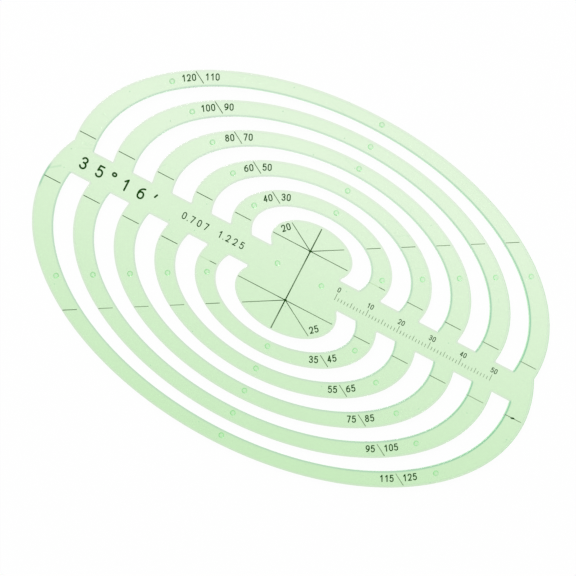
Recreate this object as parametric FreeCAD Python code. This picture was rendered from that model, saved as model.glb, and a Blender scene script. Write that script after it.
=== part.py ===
# Isometric ellipse template for hand drawing.
#
# The object is one clear moulding with ink printed on its upper face. A straight bar crosses the
# moulding. Above the bar lie the ellipses of the sizes 20, 30, 40 and so on, about one centre, and
# below it those of the sizes 25, 35, 45, about another. Every second band between two ellipses is
# cut away, so a pencil can follow both edges of each ring that stays.
#
# An isometric ellipse is named by the circle that it pictures: its size is that circle's diameter.
#
# Lengths are millimetres. +X runs along the bar, +Y towards the half with the even tens, and +Z out
# of the printed face. Z = 0 is the paper that the risers stand on. X = 0, Y = 0 is the middle of
# the moulding's box.
import FreeCAD, Part
import math
import os

from FreeCAD import Placement, Rotation, Vector

# Ellipses
smallest_upper_size = 20.0
smallest_lower_size = 25.0
size_step = 10.0
ring_count = 5
isometric_angle = 30.0

# Moulding
centre_spacing = 16.0
bar_width = 8.05
bar_offset = 0.12
plate_thickness = 1.2
edge_rounding = 0.12
slot_corner_radius = 0.35
notch_radius = 0.5
# The moulded rings are a little wider than the true ones. Each edge stands out from its true ellipse
# by these gains, on its long and its short axis, or back from it where the gain is negative.
outward_edge_gain_long = 0.18
outward_edge_gain_short = 0.29
inward_edge_gain_long = -0.05
inward_edge_gain_short = 0.29

# Risers: small feet under the moulding, which keep wet ink from creeping under its edges
riser_height = 0.5
riser_base_diameter = 1.75
riser_tip_diameter = 0.8
# The risers were sunk into the mould on a grid of their own, a little off the ellipses
riser_shift_x = 0.34
riser_shift_y = 0.42
riser_column_offset = 0.95
bar_riser_spacing = 14.05
bar_riser_shift_x = 0.04
# Each slanted row climbs at this angle, and would meet the short axis this far past the middle
riser_row_angle = 29.0
upper_left_row_drop = 0.05
upper_right_row_drop = 2.5
lower_left_row_drop = 1.9
lower_right_row_drop = 1.25

# Printed lines
ink_thickness = 0.05
fine_line_width = 0.22
centre_line_width = 0.34
# The print was laid a little off the moulding
print_shift_x = -0.31
print_shift_y = -0.13
printed_centre_inset = 0.25
line_end_margin = 0.35
long_axis_tick_length = 5.1
ray_tick_length = 4.0
ray_tick_outward = 0.5

# Size numbers beside the slanted axes
size_number_height = 2.05
size_number_width = 1.15
size_number_pen = 0.31
size_number_advance = 1.45
size_number_gap = 1.15
size_number_shift_x = -0.51
size_number_shift_y = 0.07
innermost_number_inset = 2.25
innermost_number_gap = 0.8

# Ratio numbers on the bar: the short and the long axis of an isometric ellipse over its size
ratio_number_height = 2.1
ratio_number_width = 1.2
ratio_number_pen = 0.29
ratio_number_advance = 2.15
short_ratio_place = -33.0
long_ratio_place = -21.7

# Angle number on the bar: how far a circle leans to look like these ellipses
angle_number_height = 3.6
angle_number_width = 2.1
angle_number_pen = 0.52
angle_number_advance = 5.0
angle_number_inset = 19.0

# Plain millimetre scale on the bar
scale_inset = 14.5
scale_length = 50.0
scale_division = 1.0
scale_line_width = 0.16
scale_short_line = 1.0
scale_middle_line = 1.5
scale_long_line = 2.0
scale_base_drop = 1.55
scale_number_height = 1.5
scale_number_width = 0.85
scale_number_pen = 0.22
scale_number_advance = 1.08
scale_number_gap = 0.4

# Shares and places that follow from the sizes above
major_ratio = math.sqrt(1.5)
minor_ratio = math.sqrt(0.5)
point_share_of_advance = 0.21
mark_share_of_advance = 0.6
half_spacing = centre_spacing / 2
upper_reach = half_spacing + (smallest_upper_size / 2 + ring_count * size_step) * minor_ratio
lower_reach = half_spacing + (smallest_lower_size / 2 + ring_count * size_step) * minor_ratio
middle_y = (lower_reach - upper_reach) / 2
bar_y = middle_y + bar_offset
bar_reach = (max(smallest_upper_size, smallest_lower_size) / 2 + ring_count * size_step) * major_ratio
scale_start = bar_reach - scale_inset - scale_length
plate_bottom = riser_height
print_plane = riser_height + plate_thickness


class Half:
    """One half of the template: its side of the bar, its centres and its ellipse sizes."""

    def __init__(self, name, side, smallest_size):
        self.name = name
        self.side = side
        self.sizes = [smallest_size + step * size_step for step in range(2 * ring_count + 1)]
        self.centre = Vector(0, middle_y + side * half_spacing, 0)
        inset = Vector(0, -side * printed_centre_inset, 0)
        self.printed_centre = self.centre + inset + Vector(print_shift_x, print_shift_y, 0)

    def rings(self):
        """Gives the inner and the outer size of each ring, from the innermost ring outwards."""
        return list(zip(self.sizes[1::2], self.sizes[2::2]))

    def slots(self):
        """Gives the sizes at the two edges of each open band, from the innermost band outwards."""
        return list(zip(self.sizes[0::2], self.sizes[1::2]))

    def numbered_ray(self):
        """Gives the angle of the slanted axis that has the size numbers."""
        return -isometric_angle if self.side < 0 else 180 - isometric_angle

    def plain_ray(self):
        """Gives the angle of the slanted axis that has only lines."""
        return 180 - self.numbered_ray()


UPPER = Half("upper", +1, smallest_upper_size)
LOWER = Half("lower", -1, smallest_lower_size)
HALVES = (UPPER, LOWER)


# Edges of the moulding

def outward_edge(half, size):
    """The edge that faces away from the centre: the outside of a ring, and of the moulding."""
    return Part.Ellipse(half.centre, size / 2 * major_ratio + outward_edge_gain_long,
                        size / 2 * minor_ratio + outward_edge_gain_short)


def inward_edge(half, size):
    """The edge that faces the centre: the inside of a ring."""
    return Part.Ellipse(half.centre, size / 2 * major_ratio - inward_edge_gain_long,
                        size / 2 * minor_ratio - inward_edge_gain_short)


def ring_middle(half, inner_size, outer_size):
    """The curve that runs half way between a ring's two edges."""
    inner, outer = inward_edge(half, inner_size), outward_edge(half, outer_size)
    return Part.Ellipse(half.centre, (inner.MajorRadius + outer.MajorRadius) / 2,
                        (inner.MinorRadius + outer.MinorRadius) / 2)


def arc_beyond_bar(curve, half):
    """The part of an ellipse that lies on its own half's side of the bar."""
    bar_edge = bar_y + half.side * bar_width / 2
    start = math.asin((bar_edge - curve.Center.y) / curve.MinorRadius)
    if half.side > 0:
        return Part.ArcOfEllipse(curve, start, math.pi - start).toShape()
    return Part.ArcOfEllipse(curve, math.pi - start, 2 * math.pi + start).toShape()


def slab(edges):
    """Raises the area inside a closed run of edges to the moulding's thickness."""
    face = Part.Face(Part.Wire(edges))
    face.translate(Vector(0, 0, plate_bottom))
    return face.extrude(Vector(0, 0, plate_thickness))


def is_upright(edge):
    """Tells an edge that runs down a wall from one that runs along a face."""
    return abs(edge.tangentAt(edge.FirstParameter).z) > 0.5


def sharp_upright_edges(solid):
    """Lists the vertical edges where two walls meet at an angle."""
    found = []
    for edge in solid.Edges:
        walls = solid.ancestorsOfType(edge, Part.Face)
        if not is_upright(edge) or len(walls) < 2:
            continue
        middle = edge.CenterOfMass
        normals = [wall.normalAt(*wall.Surface.parameter(middle)) for wall in walls]
        if normals[0].getAngle(normals[1]) > math.radians(5):
            found.append(edge)
    return found


def outline():
    """The moulding with no slots: the largest ellipses of both halves in one."""
    halves = [slab([outward_edge(half, half.sizes[-1]).toShape()]) for half in HALVES]
    whole = halves[0].fuse(halves[1]).removeSplitter()
    return whole.makeFillet(notch_radius, sharp_upright_edges(whole))


def slot_cutter(half, inner_size, outer_size):
    """A solid of one open band, from the edge of one size out to the edge of the next."""
    inner = arc_beyond_bar(outward_edge(half, inner_size), half)
    outer = arc_beyond_bar(inward_edge(half, outer_size), half)
    ends = [Part.makeLine(inner.Vertexes[end].Point, outer.Vertexes[end].Point) for end in (0, 1)]
    band = slab([inner, ends[1], outer, ends[0]])
    return band.makeFillet(slot_corner_radius, sharp_upright_edges(band))


# Risers

def riser_centre(half):
    """The centre that a half's risers are laid out about."""
    return half.centre + Vector(riser_shift_x, riser_shift_y, 0)


def riser_row(half, across, drop):
    """The places of one slanted row: where a sloping line crosses the middle of each ring."""
    slope = math.tan(math.radians(riser_row_angle))
    start = -half_spacing - drop
    places = []
    for sizes in half.rings():
        middle = ring_middle(half, *sizes)
        long, short = middle.MajorRadius, middle.MinorRadius
        # The crossing's x solves (x / long)^2 + ((start + slope x) / short)^2 = 1
        square = 1 / long ** 2 + (slope / short) ** 2
        linear = slope * start / short ** 2
        constant = (start / short) ** 2 - 1
        reach = (-linear + math.sqrt(linear ** 2 - square * constant)) / square
        places.append(riser_centre(half) + Vector(across * reach, half.side * (start + slope * reach), 0))
    return places


def riser_column(half):
    """The places near the short axis, one on the middle of each ring."""
    places = []
    for sizes in half.rings():
        middle = ring_middle(half, *sizes)
        rise = middle.MinorRadius * math.sqrt(1 - (riser_column_offset / middle.MajorRadius) ** 2)
        places.append(riser_centre(half) + Vector(riser_column_offset, half.side * rise, 0))
    return places


def riser_places():
    """Every riser's place under the moulding."""
    places = [Vector(across * bar_riser_spacing / 2 + bar_riser_shift_x, middle_y + riser_shift_y, 0)
              for across in (-1, 1)]
    places += riser_row(UPPER, -1, upper_left_row_drop)
    places += riser_row(UPPER, +1, upper_right_row_drop)
    places += riser_row(LOWER, -1, lower_left_row_drop)
    places += riser_row(LOWER, +1, lower_right_row_drop)
    places += riser_column(UPPER) + riser_column(LOWER)
    return places


def moulding():
    """The whole clear piece: outline, slots, rounded edges and risers."""
    plate = outline()
    for half in HALVES:
        for sizes in half.slots():
            plate = plate.cut(slot_cutter(half, *sizes))
    rims = [edge for edge in plate.Edges if not is_upright(edge)]
    plate = plate.makeFillet(edge_rounding, rims)
    risers = [Part.makeCone(riser_tip_diameter / 2, riser_base_diameter / 2, riser_height, place)
              for place in riser_places()]
    return plate.multiFuse(risers).removeSplitter()


# Printed lines

def direction(angle):
    """A step of 1 mm at an angle in degrees from +X."""
    return Vector(math.cos(math.radians(angle)), math.sin(math.radians(angle)), 0)


def ink(face):
    """Lays a flat area of ink on the printed face."""
    face.translate(Vector(0, 0, print_plane))
    return face.extrude(Vector(0, 0, ink_thickness))


def ink_line(start, end, width=fine_line_width):
    """A straight printed line with square ends."""
    along = (end - start).normalize()
    side = Vector(-along.y, along.x, 0) * (width / 2)
    corners = [start + side, start - side, end - side, end + side]
    return ink(Part.Face(Part.makePolygon(corners + corners[:1])))


def ink_tick(middle, angle, length):
    """A printed line given by its middle, its angle and its length."""
    half_line = direction(angle) * (length / 2)
    return ink_line(middle - half_line, middle + half_line)


def centre_lines():
    """The cross line, and both halves' long and slanted axes, as one connected print."""
    crests = [half.printed_centre + Vector(0, half.side * half.sizes[0] / 2 * minor_ratio, 0)
              for half in HALVES]
    lines = [ink_line(*crests, centre_line_width)]
    for half in HALVES:
        for angle in (0, 180, half.numbered_ray(), half.plain_ray()):
            step = direction(angle)
            reach = half.sizes[0] / 2 / math.hypot(step.x / major_ratio, step.y / minor_ratio)
            end = half.printed_centre + step * (reach - line_end_margin)
            lines.append(ink_line(half.printed_centre, end))
    return lines[0].multiFuse(lines[1:]).removeSplitter()


def long_axis_ticks(half):
    """A short line across each ring, left and right of the centre."""
    return [ink_tick(half.printed_centre + Vector(across * sum(sizes) / 4 * major_ratio, 0, 0),
                     0, long_axis_tick_length)
            for sizes in half.rings() for across in (-1, 1)]


def ray_ticks(half):
    """A short line across each ring on both slanted axes."""
    return [ink_tick(half.printed_centre + direction(angle) * (sum(sizes) / 4 + ray_tick_outward),
                     angle, ray_tick_length)
            for sizes in half.rings() for angle in (half.numbered_ray(), half.plain_ray())]


# Numerals, drawn with a round pen

class Via(tuple):
    """A point that an arc passes through between the points before and after it."""


def turned(strokes):
    """The strokes of a numeral, upside down."""
    return [[type(point)((1 - point[0], 1 - point[1])) for point in stroke] for stroke in strokes]


# Each stroke is a run of points, in shares of the numeral's width and height
STROKES = {
    "0": [[(0.5, 1), Via((0.12, 0.9)), (0, 0.7), (0, 0.3), Via((0.12, 0.1)), (0.5, 0)],
          [(0.5, 1), Via((0.88, 0.9)), (1, 0.7), (1, 0.3), Via((0.88, 0.1)), (0.5, 0)]],
    "1": [[(0.2, 0.76), (0.68, 1), (0.68, 0)]],
    "2": [[(0, 0.76), Via((0.5, 1)), (0.98, 0.72), Via((0.86, 0.5)), (0, 0), (1, 0)]],
    "3": [[(0, 0.82), Via((0.46, 1)), (0.92, 0.77), Via((0.7, 0.57)), (0.36, 0.54)],
          [(0.36, 0.54), Via((0.8, 0.47)), (1, 0.28), Via((0.48, 0)), (0, 0.17)]],
    "4": [[(0.74, 1), (0, 0.26), (1, 0.26)], [(0.74, 1), (0.74, 0)]],
    "5": [[(0.92, 1), (0.14, 1), (0.06, 0.54), Via((0.6, 0.64)), (1, 0.32), Via((0.5, 0)), (0, 0.16)]],
    "6": [[(0.86, 0.96), Via((0.2, 0.78)), (0, 0.32), Via((0.5, 0)), (1, 0.32)],
          [(0, 0.32), Via((0.5, 0.6)), (1, 0.32)]],
    "7": [[(0, 1), (1, 1), (0.36, 0)]],
    "8": [[(0.5, 1), Via((0.08, 0.78)), (0.5, 0.55), Via((0, 0.28)), (0.5, 0)],
          [(0.5, 1), Via((0.92, 0.78)), (0.5, 0.55), Via((1, 0.28)), (0.5, 0)]],
    ".": [[(0.5, 0), (0.5, 0.01)]],
    "°": [[(0.5, 1), Via((0.16, 0.86)), (0.5, 0.72)], [(0.5, 1), Via((0.84, 0.86)), (0.5, 0.72)]],
    "′": [[(0.62, 1), (0.4, 0.74)]],
}
STROKES["9"] = turned(STROKES["6"])
ADVANCE_SHARES = {".": point_share_of_advance, "°": mark_share_of_advance, "′": mark_share_of_advance}


class Numerals:
    """Plain numerals of one height, width, pen and spacing."""

    def __init__(self, height, width, pen, advance):
        self.height, self.width, self.pen, self.advance = height, width, pen, advance

    def place_in_sign(self, point):
        """Turns a share of the width and height into a place about the sign's middle."""
        across, up = point
        return Vector((across - 0.5) * (self.width - self.pen), (up - 0.5) * (self.height - self.pen), 0)

    def straight_stroke(self, start, end):
        """The outline of a single straight run with round ends."""
        along = (end - start).normalize() * (self.pen / 2)
        side = Vector(-along.y, along.x, 0)
        return Part.Wire([Part.makeLine(start + side, end + side),
                          Part.Arc(end + side, end + along, end - side).toShape(),
                          Part.makeLine(end - side, start - side),
                          Part.Arc(start - side, start - along, start + side).toShape()])

    def bent_stroke(self, points):
        """The outline of a run of lines, and of arcs through the points marked as such."""
        edges = []
        for before, point, after in zip([None] + points, points, points[1:]):
            if isinstance(point, Via):
                edges.append(Part.Arc(*map(self.place_in_sign, (before, point, after))).toShape())
            elif not isinstance(after, Via):
                edges.append(Part.makeLine(self.place_in_sign(point), self.place_in_sign(after)))
        return Part.Wire(edges).makeOffset2D(self.pen / 2)

    def stroke(self, points):
        """The ink of one stroke."""
        if len(points) == 2:
            return ink(Part.Face(self.straight_stroke(*map(self.place_in_sign, points))))
        return ink(Part.Face(self.bent_stroke(points)))

    def sign(self, character):
        """The ink of one numeral or mark about the origin."""
        strokes = [self.stroke(points) for points in STROKES[character]]
        if len(strokes) == 1:
            return strokes[0]
        return strokes[0].multiFuse(strokes[1:]).removeSplitter()

    def cells(self, text):
        """The width that each character of a text takes along its line."""
        return [self.advance * ADVANCE_SHARES.get(character, 1) for character in text]

    def row(self, text, middle, angle=0):
        """The ink of a text, one solid for each character, centred on a place."""
        cells = self.cells(text)
        along = -sum(cells) / 2
        turn = Placement(Vector(middle.x, middle.y, 0), Rotation(Vector(0, 0, 1), angle))
        signs = []
        for character, cell in zip(text, cells):
            sign = self.sign(character)
            sign.Placement = turn * Placement(Vector(along + cell / 2, 0, 0), Rotation())
            signs.append(sign)
            along += cell
        return signs


def size_number(half, index):
    """The number of one size, beside the numbered slanted axis and in line with its ring."""
    numerals = Numerals(size_number_height, size_number_width, size_number_pen, size_number_advance)
    text = "%g" % half.sizes[index]
    if index == 0:
        edge = outward_edge(half, half.sizes[0])
        curve = Part.Ellipse(half.centre, edge.MajorRadius - innermost_number_inset,
                             edge.MinorRadius - innermost_number_inset)
        gap = innermost_number_gap
    else:
        curve = ring_middle(half, *half.rings()[(index - 1) // 2])
        gap = size_number_gap
    ray = direction(half.numbered_ray())
    ray_place = math.atan2(ray.y / minor_ratio, ray.x / major_ratio)
    distance = gap + sum(numerals.cells(text)) / 2
    inner_size_of_ring = index % 2 == 1
    place = curve.parameterAtDistance(-distance if inner_size_of_ring else distance, ray_place)
    along = curve.tangent(place)[0] * -half.side
    angle = math.degrees(math.atan2(along.y, along.x))
    shift = Vector(size_number_shift_x, size_number_shift_y, 0)
    return numerals.row(text, curve.value(place) + shift, angle)


def ratio_number(ratio, place):
    """An axis ratio of these ellipses, printed on the bar."""
    numerals = Numerals(ratio_number_height, ratio_number_width, ratio_number_pen, ratio_number_advance)
    return numerals.row("%.3f" % ratio, Vector(place, bar_y, 0))


def angle_number():
    """The lean of the circle that these ellipses picture, in degrees and minutes."""
    numerals = Numerals(angle_number_height, angle_number_width, angle_number_pen, angle_number_advance)
    lean = math.degrees(math.asin(minor_ratio / major_ratio))
    text = "%d°%02d′" % (int(lean), round(lean % 1 * 60))
    return numerals.row(text, Vector(angle_number_inset - bar_reach, bar_y, 0))


# Millimetre scale

def scale_line_length(step):
    """A line's length: long at every tenth, middling at every fifth, else short."""
    if step % 10 == 0:
        return scale_long_line
    return scale_middle_line if step % 5 == 0 else scale_short_line


def scale_lines():
    """The scale's upright lines."""
    lines = []
    for step in range(round(scale_length / scale_division) + 1):
        length = scale_line_length(step)
        foot = Vector(scale_start + step * scale_division, bar_y - scale_base_drop, 0)
        lines.append(ink_line(foot, foot + Vector(0, length, 0), scale_line_width))
    return lines


def scale_numbers():
    """A plain number over every tenth line."""
    numerals = Numerals(scale_number_height, scale_number_width, scale_number_pen, scale_number_advance)
    rise = scale_long_line + scale_number_gap + scale_number_height / 2 - scale_base_drop
    numbers = []
    for step in range(0, round(scale_length / scale_division) + 1, 10):
        middle = Vector(scale_start + step * scale_division, bar_y + rise, 0)
        numbers += numerals.row("%g" % (step * scale_division), middle)
    return numbers


# Pieces by name, each a list of solids

def pieces():
    """Builds every piece of the template."""
    built = {"template_plate": [moulding()], "centre_lines": [centre_lines()]}
    for half in HALVES:
        built[half.name + "_long_axis_ticks"] = long_axis_ticks(half)
        built[half.name + "_ray_ticks"] = ray_ticks(half)
        for index in range(len(half.sizes)):
            built["%s_size_number_%02d" % (half.name, index + 1)] = size_number(half, index)
    built["short_ratio_number"] = ratio_number(minor_ratio, short_ratio_place)
    built["long_ratio_number"] = ratio_number(major_ratio, long_ratio_place)
    built["angle_number"] = angle_number()
    built["scale_lines"] = scale_lines()
    built["scale_numbers"] = scale_numbers()
    return built


os.makedirs("parts", exist_ok=True)
for name, solids in pieces().items():
    shape = solids[0] if len(solids) == 1 else Part.makeCompound(solids)
    shape.exportStep("parts/%s.step" % name)
    report = (name, len(shape.Solids), shape.Volume, shape.isValid())
    print("%-28s %3d solids  %10.3f mm3  valid %s" % report)
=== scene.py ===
"""Looks of the isometric ellipse template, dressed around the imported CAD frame.

The clear moulding follows a rule, so Geometry Nodes make it from the same sizes as the solid: two
sets of ellipses, the open bands between them, a bar and the small risers underneath. The printed
ink keeps its CAD solids and gets a worn, slightly uneven finish.

Lengths in the size classes are millimetres. Everything that reaches the scene is in metres.
"""

import logging
import math
from dataclasses import dataclass, field, fields
from enum import Enum
from functools import cached_property

import bpy
from mathutils import Matrix, Vector

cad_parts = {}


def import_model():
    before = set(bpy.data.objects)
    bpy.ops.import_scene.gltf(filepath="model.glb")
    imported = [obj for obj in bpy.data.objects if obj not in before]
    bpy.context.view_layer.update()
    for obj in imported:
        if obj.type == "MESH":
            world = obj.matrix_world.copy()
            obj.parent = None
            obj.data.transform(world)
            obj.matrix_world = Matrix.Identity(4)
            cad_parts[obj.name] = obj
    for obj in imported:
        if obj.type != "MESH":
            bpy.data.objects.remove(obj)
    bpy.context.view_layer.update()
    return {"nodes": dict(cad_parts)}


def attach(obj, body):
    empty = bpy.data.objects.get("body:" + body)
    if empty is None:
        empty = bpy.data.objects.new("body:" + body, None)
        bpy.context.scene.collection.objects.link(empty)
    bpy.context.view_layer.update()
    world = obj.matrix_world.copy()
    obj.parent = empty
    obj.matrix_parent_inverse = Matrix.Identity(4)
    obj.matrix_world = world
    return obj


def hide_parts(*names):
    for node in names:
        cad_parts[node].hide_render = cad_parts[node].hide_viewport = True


MM = 0.001
BODY = "root"
ORIGIN = (0.0, 0.0, 0.0)
LOG = logging.getLogger("ellipse_template")

# A circle of size 1 seen at the isometric angle has these axes
LONG_RATIO = math.sqrt(1.5)
SHORT_RATIO = math.sqrt(0.5)

# The printed face above the floor, in millimetres
FACE_HEIGHT = 1.7

Spot = tuple[float, float]
Place = tuple[float, float, float]
Four = tuple[float, float, float, float]
Tint = tuple[int, int, int]


class Half(Enum):
    """The two halves of the template, each with the sign of its side of the bar."""

    UPPER = 1
    LOWER = -1


class Slot(Enum):
    """The record's material slots."""

    PLASTIC = "clear_green_plastic"
    LINES = "printed_line_ink"
    NUMBERS = "printed_number_ink"


# Node trees


class Kind(Enum):
    """The types of a node group's sockets."""

    GEOMETRY = "NodeSocketGeometry"
    MATERIAL = "NodeSocketMaterial"
    COUNT = "NodeSocketInt"
    NUMBER = "NodeSocketFloat"
    POINT = "NodeSocketVector"
    COLOUR = "NodeSocketColor"

    @classmethod
    def of(cls, value: int | float | tuple) -> "Kind":
        """Finds the type that takes a value.

        Args:
            value: A number, a point of three numbers or a colour of four.

        Returns:
            The type.
        """
        if isinstance(value, tuple):
            return cls.POINT if len(value) == 3 else cls.COLOUR
        return cls.COUNT if isinstance(value, int) else cls.NUMBER


@dataclass(frozen=True)
class Term:
    """A value in a node tree. Sums, products and comparisons of terms make Math nodes."""

    wiring: "Wiring"
    socket: bpy.types.NodeSocket

    def __add__(self, other: "Term | float") -> "Term":
        """Adds."""
        return self.wiring.math("ADD", self, other)

    def __sub__(self, other: "Term | float") -> "Term":
        """Subtracts."""
        return self.wiring.math("SUBTRACT", self, other)

    def __rsub__(self, other: float) -> "Term":
        """Subtracts from a number."""
        return self.wiring.math("SUBTRACT", other, self)

    def __mul__(self, other: "Term | float") -> "Term":
        """Multiplies."""
        return self.wiring.math("MULTIPLY", self, other)

    def __truediv__(self, other: "Term | float") -> "Term":
        """Divides."""
        return self.wiring.math("DIVIDE", self, other)

    def __gt__(self, other: "Term | float") -> "Term":
        """Gives 1 where it is the larger, and 0 elsewhere."""
        return self.wiring.math("GREATER_THAN", self, other)

    def __lt__(self, other: "Term | float") -> "Term":
        """Gives 1 where it is the smaller, and 0 elsewhere."""
        return self.wiring.math("LESS_THAN", self, other)

    __radd__ = __add__
    __rmul__ = __mul__


@dataclass(frozen=True)
class Node:
    """A node in a tree, whose outputs come as terms."""

    wiring: "Wiring"
    bare: bpy.types.Node

    def __getitem__(self, output: str | int) -> Term:
        """Gives an output by its name or number."""
        return Term(self.wiring, self.bare.outputs[output])


class Wiring:
    """Adds nodes to a tree and joins them up."""

    TREE = ""

    def __init__(self, tree: bpy.types.NodeTree) -> None:
        """Starts on a tree."""
        self.tree = tree

    @cached_property
    def given(self) -> Node:
        """The node with the group's inputs."""
        return self.node("NodeGroupInput")

    def __getitem__(self, name: str) -> Term:
        """Gives an input of the group."""
        return self.given[name]

    @classmethod
    def group(cls, name: str, inputs: dict[str, object], outputs: dict[str, Kind]) -> "Wiring":
        """Starts a node group.

        Args:
            name: The group's name.
            inputs: Its inputs by name, each with its first value or its type.
            outputs: Its outputs by name, each with its type.

        Returns:
            The wiring of the new group.
        """
        tree = bpy.data.node_groups.new(name, cls.TREE)
        for way, sockets in (("INPUT", inputs), ("OUTPUT", outputs)):
            for label, value in sockets.items():
                kind = value if isinstance(value, Kind) else Kind.of(value)
                made = tree.interface.new_socket(label, in_out=way, socket_type=kind.value)
                if value is not kind:
                    made.default_value = value
        return cls(tree)

    def node(self, kind: str, settings: dict[str, object] | None = None,
             numbered: dict[int, object] | None = None, **named: object) -> Node:
        """Adds a node. An input takes a term, which is linked, or a plain value.

        Args:
            kind: The node's type name.
            settings: Its properties by name.
            numbered: Its inputs by number.
            **named: Its inputs by name, with _ for a space.

        Returns:
            The new node.
        """
        made = self.tree.nodes.new(kind)
        for name, value in (settings or {}).items():
            setattr(made, name, value)
        spaced = {name.replace("_", " "): value for name, value in named.items()}
        for key, value in ((numbered or {}) | spaced).items():
            if isinstance(value, Term):
                self.tree.links.new(value.socket, made.inputs[key])
            else:
                made.inputs[key].default_value = value
        return Node(self, made)

    def math(self, operation: str, *values: Term | float) -> Term:
        """Adds a Math node."""
        return self.node("ShaderNodeMath", {"operation": operation}, dict(enumerate(values)))[0]

    def vector(self, operation: str, *values: Term | tuple) -> Node:
        """Adds a Vector Math node."""
        return self.node("ShaderNodeVectorMath", {"operation": operation}, dict(enumerate(values)))

    def scaled(self, vector: Term, share: Term | float) -> Term:
        """Stretches a vector."""
        return self.node("ShaderNodeVectorMath", {"operation": "SCALE"}, Vector=vector, Scale=share)[0]

    def point(self, x: Term | float = 0.0, y: Term | float = 0.0, z: Term | float = 0.0) -> Term:
        """Joins three values to a point."""
        return self.node("ShaderNodeCombineXYZ", X=x, Y=y, Z=z)[0]

    def pick(self, chance: Term, at_zero: Term, at_one: Term) -> Term:
        """Gives at_zero where chance is 0 and at_one where it is 1."""
        return at_zero + chance * (at_one - at_zero)


class FormWiring(Wiring):
    """Adds the nodes that make geometry."""

    TREE = "GeometryNodeTree"

    def index(self) -> Term:
        """Gives the number of each point."""
        return self.node("GeometryNodeInputIndex")[0]

    def coordinate(self, axis: str) -> Term:
        """Gives the X, Y or Z of each point."""
        return self.node("ShaderNodeSeparateXYZ", Vector=self.node("GeometryNodeInputPosition")[0])[axis]

    def joined(self, *parts: Term) -> Term:
        """Joins geometries.

        Args:
            *parts: The geometries.

        Returns:
            All of them as one.
        """
        made = self.node("GeometryNodeJoinGeometry")
        for part in parts:
            self.tree.links.new(part.socket, made.bare.inputs[0])
        return made[0]

    def marked(self, geometry: Term, name: str, value: Term | float, kind: str = "FLOAT") -> Term:
        """Stores a named value at each point of a geometry."""
        return self.node("GeometryNodeStoreNamedAttribute", {"data_type": kind, "domain": "POINT"},
                         Geometry=geometry, Name=name, Value=value)[0]

    def mark(self, name: str, kind: str = "FLOAT") -> Term:
        """Reads a named value."""
        return self.node("GeometryNodeInputNamedAttribute", {"data_type": kind}, Name=name)[0]

    def rounded(self, curve: Term, steps: Term, radius: Term) -> Term:
        """Rounds the corners of curves."""
        return self.node("GeometryNodeFilletCurve", {"mode": "POLY"}, Curve=curve, Count=steps,
                         Radius=radius)[0]

    def shaded(self, geometry: Term, smooth: bool) -> Term:
        """Shades faces smooth or flat."""
        return self.node("GeometryNodeSetShadeSmooth", Geometry=geometry, Shade_Smooth=smooth)[0]

    def strewn(self, shape: Term, points: Term, **how: Term) -> Term:
        """Puts a copy of a shape at every point."""
        return self.node("GeometryNodeInstanceOnPoints", Points=points, Instance=shape, **how)[0]

    def real(self, geometry: Term) -> Term:
        """Makes copies real."""
        return self.node("GeometryNodeRealizeInstances", Geometry=geometry)[0]

    def ended(self, whole: Term, material: Term) -> bpy.types.NodeTree:
        """Ends the tree: the geometry is brought to metres, made real and given its material.

        Args:
            whole: The geometry in millimetres.
            material: Its material.

        Returns:
            The finished tree.
        """
        whole = self.real(self.node("GeometryNodeTransform", Geometry=whole, Scale=(MM, MM, MM))[0])
        whole = self.node("GeometryNodeSetMaterial", Geometry=whole, Material=material)[0]
        self.node("NodeGroupOutput", None, {0: whole})
        return self.tree


class ShadeWiring(Wiring):
    """Adds the nodes that make finishes."""

    TREE = "ShaderNodeTree"

    @classmethod
    def of(cls, owner: bpy.types.Material | bpy.types.World) -> "ShadeWiring":
        """Starts on a material's or a world's tree.

        Args:
            owner: The material or world.

        Returns:
            The wiring of its emptied tree.
        """
        owner.use_nodes = True
        owner.node_tree.nodes.clear()
        return cls(owner.node_tree)

    @cached_property
    def position(self) -> Term:
        """Where each point of the piece is."""
        return self.node("ShaderNodeTexCoord")["Object"]

    def dot(self, first: Term, second: Term | tuple) -> Term:
        """Multiplies two vectors to one number."""
        return self.vector("DOT_PRODUCT", first, second)["Value"]

    def distance(self, first: Term, second: Term) -> Term:
        """Measures the way between two points."""
        return self.vector("DISTANCE", first, second)["Value"]

    def limited(self, value: Term) -> Term:
        """Holds a value between 0 and 1."""
        return self.math("MAXIMUM", self.math("MINIMUM", value, 1.0), 0.0)

    def smooth(self, value: Term, low: Term | float, high: Term | float) -> Term:
        """Rises softly from 0 at low to 1 at high, or falls where low is the larger."""
        return self.node("ShaderNodeMapRange", {"interpolation_type": "SMOOTHSTEP"}, Value=value,
                         From_Min=low, From_Max=high)[0]

    def noise(self, scale: Term | float, detail: float = 2.0) -> Term:
        """Adds a flat noise texture."""
        return self.node("ShaderNodeTexNoise", {"noise_dimensions": "2D"}, Vector=self.position,
                         Scale=scale, Detail=detail)[0]

    def blend(self, share: Term, low: Term | tuple, high: Term | tuple) -> Term:
        """Mixes two colours, with a share of the second."""
        # Sockets of every type share their names there, so the colours go by number
        return self.node("ShaderNodeMix", {"data_type": "RGBA"}, {0: share, 6: low, 7: high})[2]

    def mixed(self, share: Term, low: Node, high: Node) -> Term:
        """Mixes two shaders, with a share of the second."""
        return self.node("ShaderNodeMixShader", None, {0: share, 1: low[0], 2: high[0]})[0]


def placed(name: str, data: bpy.types.ID) -> bpy.types.Object:
    """Makes an object and puts it in the scene.

    Args:
        name: Its name.
        data: Its mesh, camera or lamp.

    Returns:
        The object.
    """
    made = bpy.data.objects.new(name, data)
    bpy.context.scene.collection.objects.link(made)
    return made


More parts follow.
